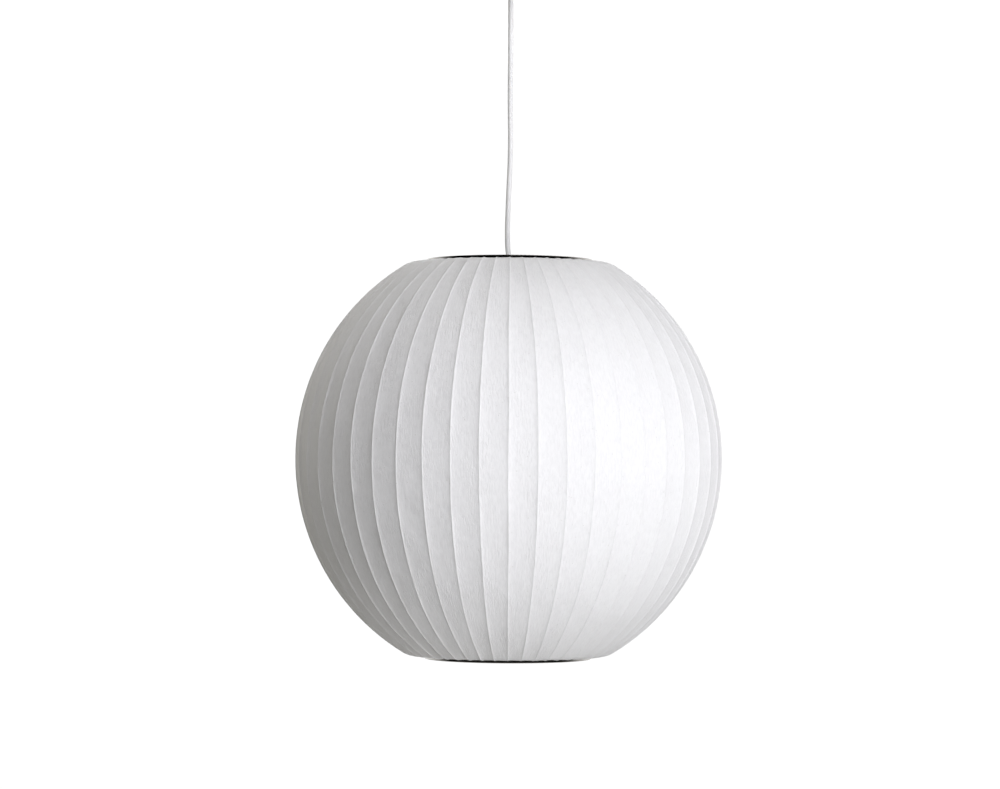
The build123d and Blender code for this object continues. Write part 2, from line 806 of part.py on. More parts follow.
with BuildPart() as terminal_tubes:
    with BuildSketch(Plane.YZ.offset(block_offset + tube_inset)):
        with Locations((0, pole_height)):
            with GridLocations(pole_spacing, 0, 2, 1):
                Circle(tube_radius)
                Circle(tube_bore_radius, mode=Mode.SUBTRACT)
    extrude(amount=block_length - 2 * tube_inset)
    with BuildSketch(Plane.XY.offset(pole_height)):
        with Locations((block_middle, 0)):
            with GridLocations(clamp_spacing, pole_spacing, 2, 2):
                Circle(clamp_screw_radius + slide_gap)
    extrude(amount=-2 * tube_radius, mode=Mode.SUBTRACT)

clamp_tip = pole_height - lead_radius - seat_gap

with BuildPart() as terminal_screws:
    with BuildSketch(Plane.XY.offset(clamp_tip)):
        with Locations((block_middle, 0)):
            with GridLocations(clamp_spacing, pole_spacing, 2, 2):
                Circle(clamp_screw_radius)
    extrude(amount=-clamp_screw_length)

block_head_top = block_low + block_screw_recess - seat_gap

with BuildPart() as block_screw:
    with BuildSketch(Plane.XY.offset(block_head_top)):
        with Locations((block_middle, 0)):
            Circle(block_screw_head_radius)
    extrude(amount=-block_screw_head_height)
    with BuildSketch(Plane.XY.offset(block_head_top)):
        with Locations((block_middle, 0)):
            Circle(block_screw_radius)
    extrude(amount=-seat_gap - block_head_top)

# ================================================================ cord and leads
arc_share = 0.45                # each arc takes this share of the shorter of its two runs


def route_radii(points):
    """Radius of each arc of a route: as large as the two runs that meet there allow."""
    stops = [Vector(*point) for point in points]
    radii = []
    for before, corner, after in zip(stops, stops[1:], stops[2:]):
        arriving = corner - before
        leaving = after - corner
        half_turn = radians(arriving.get_angle(leaving)) / 2
        radii.append(arc_share * min(arriving.length, leaving.length) / tan(half_turn))
    return radii


def tube_along(points, radius):
    """Sweep a tube along straight runs and tangent arcs. Returns it and its centre line's length."""
    with BuildPart() as tube:
        with BuildLine() as line:
            FilletPolyline(*points, radius=route_radii(points))
        with BuildSketch(Plane(origin=line.line @ 0, z_dir=line.line % 0)):
            Circle(radius)
        sweep()
    return tube.part, sum(edge.length for edge in line.edges())


cord_route = [
    (0, 0, pivot),
    (-1.3, 0, -76),
    (-1.5, 0.3, -116),
    (-0.9, 0, -158),
    (-2.2, -0.2, -194),
    (-2.4, 0, -228),
    (0, 0, cord_low + cord_last_run - suspension_drop),
    (0, 0, cord_low - suspension_drop),
]

cord_tube, cord_length = tube_along(cord_route, cord_radius)

with BuildPart() as cord:
    add(cord_tube)

with BuildPart() as cord_tail:
    with BuildSketch(Plane.XY.offset(pivot + tail_gap)):
        Circle(cord_radius)
    extrude(amount=tail_top - pivot - tail_gap)

lead_start = tail_top + seat_gap
lead_bend_height = -strap_thickness - 2 * lead_radius - free_gap


def canopy_lead(side):
    """Lead from the end of the held cord up and over into its pole of the terminal block."""
    near = (0, side * lead_spacing / 2, lead_start)
    over = (0, side * lead_spacing / 2, lead_bend_height)
    mouth = (block_offset - lead_turn_out, side * pole_spacing / 2, pole_height)
    clamped = (block_offset + lead_into_block, side * pole_spacing / 2, pole_height)
    return tube_along([near, over, mouth, clamped], lead_radius)[0]


def holder_lead(side):
    """Lead from the cord's end down through the nipple and out to its hole in the contact carrier."""
    inner = side * lead_spacing / 2
    outer = side * carrier_lead_spacing / 2
    under_nipple = nipple_low - lead_out_of_nipple
    over_carrier = carrier_top + lead_above_carrier
    heights = (cord_low - free_gap, under_nipple, over_carrier, carrier_top - lead_into_carrier)
    stops = zip((inner, inner, outer, outer), heights)
    return tube_along([(reach, 0, height - suspension_drop) for reach, height in stops], lead_radius)[0]


canopy_leads = canopy_lead(1), canopy_lead(-1)
holder_leads = holder_lead(1), holder_lead(-1)

with BuildPart() as canopy_lead_live:
    add(canopy_leads[0])

with BuildPart() as canopy_lead_neutral:
    add(canopy_leads[1])

with BuildPart() as holder_lead_live:
    add(holder_leads[0])

with BuildPart() as holder_lead_neutral:
    add(holder_leads[1])

# ================================================================ files
pieces = {
    "ceiling_bracket": ceiling_bracket,
    "canopy_cover": canopy_cover,
    "canopy_side_screws": side_screws,
    "cord_gland": cord_gland,
    "gland_bush": gland_bush,
    "gland_locknut": gland_locknut,
    "cord_stop": cord_stop,
    "cord_stop_screw": cord_stop_screw,
    "terminal_block": terminal_block,
    "terminal_tubes": terminal_tubes,
    "terminal_screws": terminal_screws,
    "block_screw": block_screw,
    "cord_tail": cord_tail,
    "canopy_lead_live": canopy_lead_live,
    "canopy_lead_neutral": canopy_lead_neutral,
    "cord": cord,
    "cord_grip": cord_grip,
    "cord_grip_screw": cord_grip_screw,
    "threaded_nipple": threaded_nipple,
    "upper_locknut": upper_locknut,
    "lower_locknut": lower_locknut,
    "spider_hub": spider_hub,
    "hub_rivets": hub_rivets,
    "ring_screws": ring_screws,
    "ring_nuts": ring_nuts,
    "top_ring": top_ring,
    "bottom_ring": bottom_ring,
    "cage_wires": cage_wires,
    "shade_film": shade_film,
    "holder_cap": holder_cap,
    "cap_lock_screw": cap_lock_screw,
    "holder_body": holder_body,
    "contact_carrier": contact_carrier,
    "threaded_shell": threaded_shell,
    "holder_contact": holder_contact,
    "holder_lead_live": holder_lead_live,
    "holder_lead_neutral": holder_lead_neutral,
    "bulb_contact": bulb_contact,
    "bulb_insulator": bulb_insulator,
    "bulb_screw_cap": bulb_screw_cap,
    "bulb_collar": bulb_collar,
    "led_plate": led_plate,
    "driver_board": driver_board,
    "bulb_globe": bulb_globe,
}
for number, spider_arm in enumerate(spider_arms, start=1):
    pieces[f"spider_arm_{number}"] = spider_arm

for name, piece in pieces.items():
    piece.part.label = name
    export_step(piece.part, f"parts/{name}.step")

swept_volume = pi * cord_radius**2 * cord_length
print("cord arc radii:", [round(radius, 1) for radius in route_radii(cord_route)])
print("cord length:", round(cord_length, 1), "volume over section times length:",
      round(cord.part.volume / swept_volume, 5))
print("pivot height:", round(pivot, 3), "bulb travel:", thread_pitch * thread_turns + cap_skirt_length)
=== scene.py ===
"""Looks of a ball pendant lantern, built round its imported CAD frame. Everything is in metres."""

import logging
import math
from dataclasses import dataclass, field
from enum import Enum
from typing import Any, Optional, Sequence

import bpy
import numpy as np
from mathutils import Euler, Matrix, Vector


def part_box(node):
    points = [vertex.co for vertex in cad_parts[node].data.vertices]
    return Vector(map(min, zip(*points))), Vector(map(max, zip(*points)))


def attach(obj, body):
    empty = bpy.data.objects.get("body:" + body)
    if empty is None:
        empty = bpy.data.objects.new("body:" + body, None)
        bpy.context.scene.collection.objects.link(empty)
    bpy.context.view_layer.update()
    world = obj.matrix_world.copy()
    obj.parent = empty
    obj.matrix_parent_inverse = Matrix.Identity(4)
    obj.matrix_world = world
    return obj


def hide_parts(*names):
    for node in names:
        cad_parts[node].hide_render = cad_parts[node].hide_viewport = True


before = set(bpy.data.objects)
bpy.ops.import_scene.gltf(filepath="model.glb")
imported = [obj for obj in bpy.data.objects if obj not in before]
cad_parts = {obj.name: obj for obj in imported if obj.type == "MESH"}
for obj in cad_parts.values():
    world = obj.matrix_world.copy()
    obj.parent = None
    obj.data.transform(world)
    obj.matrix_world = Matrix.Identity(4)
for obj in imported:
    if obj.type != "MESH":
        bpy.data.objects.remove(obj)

log = logging.getLogger("ball_pendant_lantern")

MM = 0.001
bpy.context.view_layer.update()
NOISE_LOW, NOISE_HIGH = 0.3, 0.7
PRESSED_EDGE = math.radians(35)
FILM_CREASE = math.radians(70)


def linear(hex_colour: str) -> tuple[float, float, float, float]:
    """Turn an sRGB hex colour into linear RGBA.

    Args:
        hex_colour: Six hex digits, with or without a leading hash.

    Returns:
        Linear red, green, blue and an alpha of 1.
    """
    digits = hex_colour.lstrip("#")
    channels = [int(digits[i : i + 2], 16) / 255 for i in (0, 2, 4)]
    red, green, blue = (c / 12.92 if c <= 0.04045 else ((c + 0.055) / 1.055) ** 2.4 for c in channels)
    return red, green, blue, 1.0


def add_node(
    tree: bpy.types.NodeTree,
    kind: str,
    settings: Optional[dict[Any, Any]] = None,
    links: Optional[dict[Any, bpy.types.NodeSocket]] = None,
) -> bpy.types.Node:
    """Add one shader node.

    Args:
        tree: The node tree that takes it.
        kind: Blender's name of the node type.
        settings: Values by attribute name, or by input name or number.
        links: Sockets to join, by input name or number.

    Returns:
        The new node.
    """
    node = tree.nodes.new(kind)
    for key, value in (settings or {}).items():
        if isinstance(key, str) and hasattr(node, key):
            setattr(node, key, value)
        else:
            node.inputs[key].default_value = value
    for key, socket in (links or {}).items():
        tree.links.new(socket, node.inputs[key])
    return node


class Grain(Enum):
    """Which way the fine marks of a surface run."""

    EVEN = (1.0, 1.0, 1.0)
    UPRIGHT = (1.0, 1.0, 0.06)
    TURNED = (0.05, 0.05, 1.0)


@dataclass(frozen=True)
class Finish:
    """A real surface: what it is made of and how it was made.

    The marks are noise at a real size, and softer clouds lie over them. The marks make the relief, and
    both together move the tone and the roughness a little.
    """

    name: str
    colour: str
    roughness: float
    metallic: float = 0.0
    ior: Optional[float] = None
    grain: Grain = Grain.EVEN
    grain_mm: float = 0.8
    relief_mm: float = 0.01
    tone_spread: float = 0.04
    roughness_spread: float = 0.08
    coat: float = 0.0
    subsurface: float = 0.0
    bloom_mm: float = 25.0
    cloud_share: float = 0.45
    coat_roughness: float = 0.08
    light_depth_mm: float = 2.0
    light_spread: tuple[float, float, float] = (1.0, 0.9, 0.8)

    def build(self) -> bpy.types.Material:
        """Make the material.

        Returns:
            A node material with tone, roughness and relief that follow the grain.
        """
        material = bpy.data.materials.new(self.name)
        material.use_nodes = True
        tree = material.node_tree
        tree.nodes.clear()
        shader = self.shader(tree)
        add_node(tree, "ShaderNodeOutputMaterial", links={"Surface": shader})
        return material

    def shader(self, tree: bpy.types.NodeTree) -> bpy.types.NodeSocket:
        """Lay out the finish's nodes.

        Args:
            tree: The material's empty tree.

        Returns:
            The socket of the surface shader.
        """
        place = add_node(tree, "ShaderNodeTexCoord").outputs["Object"]
        stretched = add_node(
            tree,
            "ShaderNodeMapping",
            {"vector_type": "POINT", "Scale": self.grain.value},
            {"Vector": place},
        ).outputs["Vector"]
        marks = add_node(
            tree,
            "ShaderNodeTexNoise",
            {"Scale": 1 / (self.grain_mm * MM), "Detail": 4.0, "Roughness": 0.6},
            {"Vector": stretched},
        ).outputs["Fac"]
        clouds = add_node(
            tree,
            "ShaderNodeTexNoise",
            {"Scale": 1 / (self.bloom_mm * MM), "Detail": 2.0},
            {"Vector": place},
        ).outputs["Fac"]
        blend = add_node(
            tree, "ShaderNodeMix", {"data_type": "FLOAT", 0: self.cloud_share}, {2: marks, 3: clouds}
        ).outputs[0]
        base = linear(self.colour)
        dark = tuple(c * (1 - self.tone_spread) for c in base[:3]) + (1.0,)
        light = tuple(min(1.0, c * (1 + self.tone_spread)) for c in base[:3]) + (1.0,)
        ramp = add_node(tree, "ShaderNodeValToRGB", links={"Fac": blend})
        for stop, position, tone in zip(ramp.color_ramp.elements, (NOISE_LOW, NOISE_HIGH), (dark, light)):
            stop.position, stop.color = position, tone
        rough = add_node(
            tree,
            "ShaderNodeMapRange",
            {
                "From Min": NOISE_LOW,
                "From Max": NOISE_HIGH,
                "To Min": max(0.02, self.roughness - self.roughness_spread),
                "To Max": min(1.0, self.roughness + self.roughness_spread),
            },
            {"Value": blend},
        ).outputs["Result"]
        bump = add_node(
            tree, "ShaderNodeBump", {"Strength": 1.0, "Distance": self.relief_mm * MM}, {"Height": marks}
        ).outputs["Normal"]
        settings: dict[Any, Any] = {"Metallic": self.metallic}
        if self.ior is not None:
            settings["IOR"] = self.ior
        if self.coat:
            settings["Coat Weight"] = self.coat
            settings["Coat Roughness"] = self.coat_roughness
        if self.subsurface:
            settings["Subsurface Weight"] = self.subsurface
            settings["Subsurface Radius"] = self.light_spread
            settings["Subsurface Scale"] = self.light_depth_mm * MM
        return add_node(
            tree,
            "ShaderNodeBsdfPrincipled",
            settings,
            {"Base Color": ramp.outputs["Color"], "Roughness": rough, "Normal": bump},
        ).outputs["BSDF"]


@dataclass(frozen=True)
class SprayedFilm(Finish):
    """White vinyl web sprayed over turning wires: matt, translucent, with fine threads and specks.

    The web was laid on in strands that ran along the wires, so its relief is long upright creases, with
    fine threads that clump in patches. A mix with a translucent shader lets light from behind and from
    inside through, as a film half a millimetre thick does.
    """

    thread_mm: float = 1.3
    thread_length_mm: float = 5.5
    crease_mm: float = 4.5
    crease_length_mm: float = 32.0
    crease_share: float = 0.4
    patch_mm: float = 26.0
    patch_edges: tuple[float, float] = (0.42, 0.62)
    patch_least: float = 0.2
    speck_mm: float = 5.0
    speck_edges: tuple[float, float] = (0.05, 0.11)
    speck_colour: str = "#C9C8C0"
    speck_tint: float = 0.35
    speck_height: float = 0.15
    thread_tones: tuple[float, float] = (0.35, 0.6)
    shine: float = 0.35
    let_through: float = 0.3

    def strands(
        self, tree: bpy.types.NodeTree, place: bpy.types.NodeSocket, width_mm: float, length_mm: float
    ) -> bpy.types.NodeSocket:
        """Noise in strands along the wires.

        Args:
            tree: The material's tree.
            place: Position on the film, in metres round it and down it.
            width_mm: Width of a strand.
            length_mm: Length of a strand.

        Returns:
            Socket of the noise, around one half.
        """
        scaled = add_node(
            tree,
            "ShaderNodeMapping",
            {"vector_type": "POINT", "Scale": (1 / (width_mm * MM), 1 / (length_mm * MM), 1.0)},
            {"Vector": place},
        ).outputs["Vector"]
        return add_node(
            tree,
            "ShaderNodeTexNoise",
            {"Scale": 1.0, "Detail": 3.0, "Roughness": 0.55, "Distortion": 0.6},
            {"Vector": scaled},
        ).outputs["Fac"]

    def shader(self, tree: bpy.types.NodeTree) -> bpy.types.NodeSocket:
        """Lay out the film's nodes.

        Args:
            tree: The material's empty tree.

        Returns:
            The socket of the surface shader.
        """
        place = add_node(tree, "ShaderNodeUVMap", {"uv_map": "film"}).outputs["UV"]
        threads = self.strands(tree, place, self.thread_mm, self.thread_length_mm)
        creases = self.strands(tree, place, self.crease_mm, self.crease_length_mm)
        blotches = add_node(
            tree,
            "ShaderNodeTexNoise",
            {"Scale": 1 / (self.patch_mm * MM), "Detail": 2.0},
            {"Vector": place},
        ).outputs["Fac"]
        patches = add_node(
            tree,
            "ShaderNodeMapRange",
            {
                "From Min": self.patch_edges[0],
                "From Max": self.patch_edges[1],
                "To Min": self.patch_least,
                "To Max": 1.0,
            },
            {"Value": blotches},
        ).outputs["Result"]
        clumps = add_node(
            tree, "ShaderNodeMath", {"operation": "MULTIPLY"}, {0: threads, 1: patches}
        ).outputs[0]
        weave = add_node(
            tree,
            "ShaderNodeMath",
            {"operation": "MULTIPLY_ADD", 1: self.crease_share},
            {0: creases, 2: clumps},
        ).outputs[0]
        cells = add_node(
            tree,
            "ShaderNodeTexVoronoi",
            {"Scale": 1 / (self.speck_mm * MM)},
            {"Vector": place},
        ).outputs["Distance"]
        specks = add_node(
            tree,
            "ShaderNodeMapRange",
            {
                "From Min": self.speck_edges[0],
                "From Max": self.speck_edges[1],
                "To Min": 1.0,
                "To Max": 0.0,
            },
            {"Value": cells},
        ).outputs["Result"]
        base = linear(self.colour)
        thin = tuple(c * (1 - self.tone_spread) for c in base[:3]) + (1.0,)
        ramp = add_node(tree, "ShaderNodeValToRGB", links={"Fac": threads})
        for stop, position, tone in zip(ramp.color_ramp.elements, self.thread_tones, (thin, base)):
            stop.position, stop.color = position, tone
        speck_share = add_node(
            tree, "ShaderNodeMath", {"operation": "MULTIPLY", 1: self.speck_tint}, {0: specks}
        ).outputs[0]
        colour = add_node(
            tree,
            "ShaderNodeMix",
            {"data_type": "RGBA", 7: linear(self.speck_colour)},
            {0: speck_share, 6: ramp.outputs["Color"]},
        ).outputs[2]
        height = add_node(
            tree,
            "ShaderNodeMath",
            {"operation": "MULTIPLY_ADD", 1: self.speck_height},
            {0: specks, 2: weave},
        ).outputs[0]
        bump = add_node(
            tree, "ShaderNodeBump", {"Strength": 1.0, "Distance": self.relief_mm * MM}, {"Height": height}
        ).outputs["Normal"]
        rough = add_node(
            tree,
            "ShaderNodeMapRange",
            {
                "From Min": NOISE_LOW,
                "From Max": NOISE_HIGH,
                "To Min": self.roughness - self.roughness_spread,
                "To Max": self.roughness + self.roughness_spread,
            },
            {"Value": threads},
        ).outputs["Result"]
        skin = add_node(
            tree,
            "ShaderNodeBsdfPrincipled",
            {"IOR": self.ior, "Specular IOR Level": self.shine},
            {"Base Color": colour, "Roughness": rough, "Normal": bump},
        ).outputs["BSDF"]
        glow = add_node(
            tree, "ShaderNodeBsdfTranslucent", links={"Color": colour, "Normal": bump}
        ).outputs["BSDF"]
        return add_node(
            tree, "ShaderNodeMixShader", {0: self.let_through}, {1: skin, 2: glow}
        ).outputs["Shader"]


# Sprayed vinyl web, matt: a white film that takes light from behind, with threads a millimetre wide.
FILM = SprayedFilm(
    "sprayed_vinyl_web", "#F5F5F4", roughness=0.58, ior=1.53, relief_mm=0.5, tone_spread=0.05
)
# Nickel-plated steel, polished: it mirrors the dark room in front and the pale one behind.
RING_NICKEL = Finish(
    "polished_nickel", "#A8A6A2", roughness=0.16, metallic=1.0, grain=Grain.TURNED, grain_mm=0.5,
    relief_mm=0.004, tone_spread=0.12,
)
# Drawn steel wire, dull bright: fine marks along each wire.
DRAWN_WIRE = Finish(
    "drawn_steel_wire", "#B9B7B1", roughness=0.36, metallic=1.0, grain=Grain.UPRIGHT, grain_mm=0.5,
    relief_mm=0.006, tone_spread=0.1,
)
# Steel with bright zinc plate: pale bluish grey with a soft mottle.
ZINC_STEEL = Finish(
    "zinc_plated_steel", "#B4B8BC", roughness=0.34, metallic=1.0, grain_mm=1.6, relief_mm=0.006,
    tone_spread=0.1, bloom_mm=9.0,
)
# Steel under white powder coat: satin, with the fine orange peel of baked powder.
POWDER_COAT = Finish(
    "white_powder_coat", "#EEEEEB", roughness=0.38, ior=1.5, grain_mm=1.1, relief_mm=0.02,
    tone_spread=0.015,
)
# Moulded nylon: white with a little light inside, satin from the spark-eroded mould.
NYLON = Finish(
    "moulded_white_nylon", "#E9E9E4", roughness=0.42, ior=1.53, grain_mm=0.35, relief_mm=0.012,
    tone_spread=0.02, subsurface=0.15,
)
# Moulded urea resin: hard glossy white, as lampholders are.
UREA_RESIN = Finish(
    "moulded_urea_resin", "#EBE9E3", roughness=0.22, ior=1.55, grain_mm=2.5, relief_mm=0.006,
    tone_spread=0.015, coat=0.3,
)
# Soft silicone bush: milky, slightly tacky looking.
SILICONE = Finish(
    "moulded_silicone", "#D6D5CF", roughness=0.5, ior=1.41, grain_mm=0.5, relief_mm=0.01, subsurface=0.3
)
# Extruded PVC sheath: smooth white with faint draw lines along the cord.
PVC_SHEATH = Finish(
    "extruded_white_pvc", "#D8D8D6", roughness=0.34, ior=1.53, grain=Grain.UPRIGHT, grain_mm=0.7,
    relief_mm=0.01, tone_spread=0.03, subsurface=0.1,
)
# Extruded PVC on single cores, in the usual wiring colours.
BROWN_PVC = Finish(
    "extruded_brown_pvc", "#5B3A28", roughness=0.4, ior=1.53, grain_mm=0.6, tone_spread=0.08
)
BLUE_PVC = Finish(
    "extruded_blue_pvc", "#2E5FA8", roughness=0.4, ior=1.53, grain_mm=0.6, tone_spread=0.08
)
# Pressed and turned brass: warm, lightly tarnished in clouds.
BRASS = Finish(
    "turned_brass", "#C9A25A", roughness=0.26, metallic=1.0, grain=Grain.TURNED, grain_mm=0.4,
    relief_mm=0.004, tone_spread=0.1, bloom_mm=7.0,
)
# Pressed steatite, unglazed: a dry, fine-grained ceramic.
STEATITE = Finish(
    "pressed_steatite", "#E2DFD4", roughness=0.7, ior=1.58, grain_mm=0.4, relief_mm=0.03, tone_spread=0.04
)
# Fused black glass between a bulb's contact and its shell.
BLACK_GLASS = Finish(
    "fused_black_glass", "#17171A", roughness=0.12, ior=1.5, grain_mm=1.5, tone_spread=0.1
)
# Nickel-plated brass screw shell, rolled: satin with rings from the rolling.
CAP_NICKEL = Finish(
    "rolled_nickel_cap", "#BDB8AE", roughness=0.28, metallic=1.0, grain=Grain.TURNED, grain_mm=0.5,
    relief_mm=0.006, tone_spread=0.08,
)
# Moulded polycarbonate housing of a bulb: white, semi-gloss.
HOUSING = Finish(
    "moulded_polycarbonate", "#EFEFEC", roughness=0.3, ior=1.58, grain_mm=0.9, relief_mm=0.008,
    tone_spread=0.015,
)
# Opal polycarbonate globe: diffusing white with light inside the wall.
OPAL = Finish(
    "opal_polycarbonate", "#F3F3EF", roughness=0.36, ior=1.58, grain_mm=1.4, relief_mm=0.006,
    tone_spread=0.01, subsurface=0.5,
)
# Stamped aluminium plate with a satin rolled face.
ALUMINIUM = Finish(
    "rolled_aluminium", "#C4C6C8", roughness=0.32, metallic=1.0, grain=Grain.UPRIGHT, grain_mm=0.8,
    relief_mm=0.005, tone_spread=0.06,
)
# Glass-fibre laminate under green solder resist.
LAMINATE = Finish(
    "solder_resist_laminate", "#2F6B3C", roughness=0.33, ior=1.5, grain_mm=0.9, tone_spread=0.12
)


def dress(nodes: Sequence[str], finish: Finish) -> None:
    """Give carried-over CAD nodes one finish.

    Args:
        nodes: Names of the nodes.
        finish: The finish that they take.
    """
    material = bpy.data.materials.get(finish.name) or finish.build()
    for name in nodes:
        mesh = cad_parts[name].data
        mesh.materials.clear()
        mesh.materials.append(material)
        mesh.polygons.foreach_set("use_smooth", [True] * len(mesh.polygons))
        mesh.set_sharp_from_angle(angle=PRESSED_EDGE)


def place_mesh(name: str, points: np.ndarray, faces: np.ndarray, finish: Finish) -> bpy.types.Object:
    """Make an object from points and four-sided faces.

    Args:
        name: Name of the piece.
        points: Corner positions, one row each.
        faces: Four corner numbers a row.
        finish: Its finish.

    Returns:
        The object, in the scene.
    """
    mesh = bpy.data.meshes.new(name)
    mesh.from_pydata(points.tolist(), [], faces.tolist())
    mesh.validate()
    mesh.materials.append(bpy.data.materials.get(finish.name) or finish.build())
    mesh.polygons.foreach_set("use_smooth", [True] * len(mesh.polygons))
    piece = bpy.data.objects.new(name, mesh)
    bpy.context.scene.collection.objects.link(piece)
    return piece


@dataclass
class HungCord:
    """The cord from the ceiling gland down into the lantern's cord grip."""

    diameter: float = 4.0 * MM
    route_mm: tuple[tuple[float, float, float], ...] = (
        (0, 0, -34),
        (0.3, 0, -76),
        (-0.1, 0.3, -116),
        (0.6, 0, -158),
        (-1.0, -0.2, -194),
        (-2.0, 0, -228),
        (0, 0, -243.46),
        (0, 0, -261.46),
    )
    length: float = 0.2275
    smoothness: int = 24
    sides: int = 12

    def build(self) -> bpy.types.Object:
        """Make the cord as one smooth curve.

        Returns:
            The curve.
        """
        curve = bpy.data.curves.new("hung_cord", "CURVE")
        curve.dimensions = "3D"
        curve.bevel_depth = self.diameter / 2
        curve.bevel_resolution = self.sides // 2
        curve.resolution_u = self.smoothness
        curve.use_fill_caps = True
        spline = curve.splines.new("NURBS")
        spline.points.add(len(self.route_mm) - 1)
        for point, stop in zip(spline.points, self.route_mm):
            point.co = (*(value * MM for value in stop), 1.0)
        spline.order_u = 3
        spline.use_endpoint_u = True
        curve.materials.append(PVC_SHEATH.build())
        piece = bpy.data.objects.new("hung_cord", curve)
        bpy.context.scene.collection.objects.link(piece)
        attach(piece, "cord")
        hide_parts("cord")
        return piece


